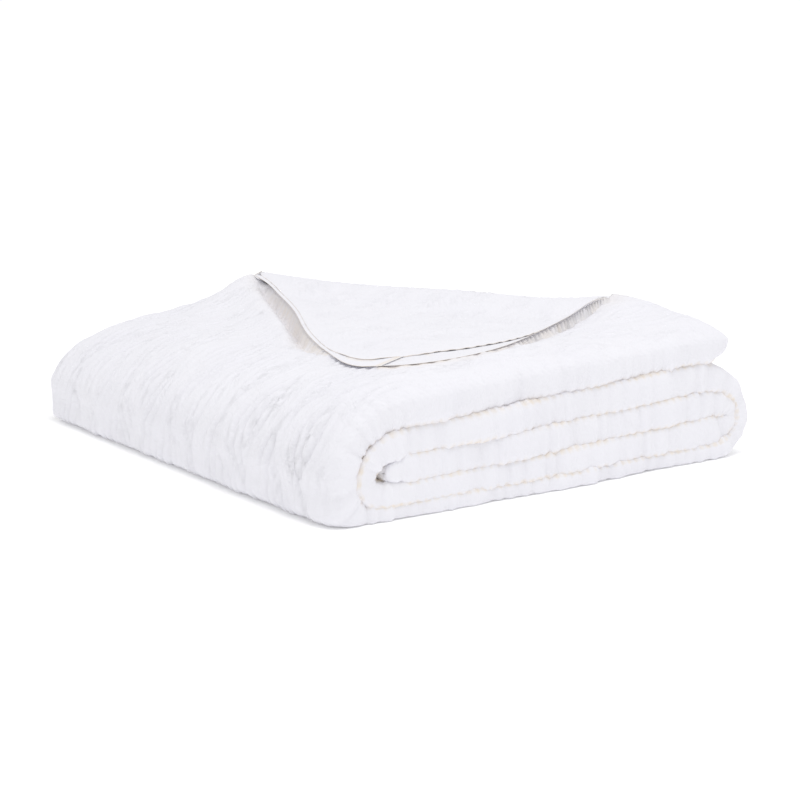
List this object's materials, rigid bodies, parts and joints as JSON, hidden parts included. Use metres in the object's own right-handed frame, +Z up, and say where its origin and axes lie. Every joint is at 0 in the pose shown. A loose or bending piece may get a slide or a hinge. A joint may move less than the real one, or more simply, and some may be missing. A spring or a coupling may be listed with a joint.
{
  "type": "folded coverlet",
  "caption": "Quilted white cotton coverlet, folded into a flat rectangular stack with rounded front folds and its rear corner turned back over the top.",
  "frame": {"origin": "middle of the underside, on the surface that the folded stack lies on", "axes": "+Z up; the layered front with its puffed folds faces -Y, the hems lie at +Y, and the strip's free end is at +X"},
  "size_m": [0.5044, 0.5296, 0.1508],
  "materials": {
    "quilted_cotton": "matt white cotton with a crinkled, quilted face"
  },
  "bodies": {
    "root": {"coverlet": "quilted_cotton"}
  },
  "joints": []
}
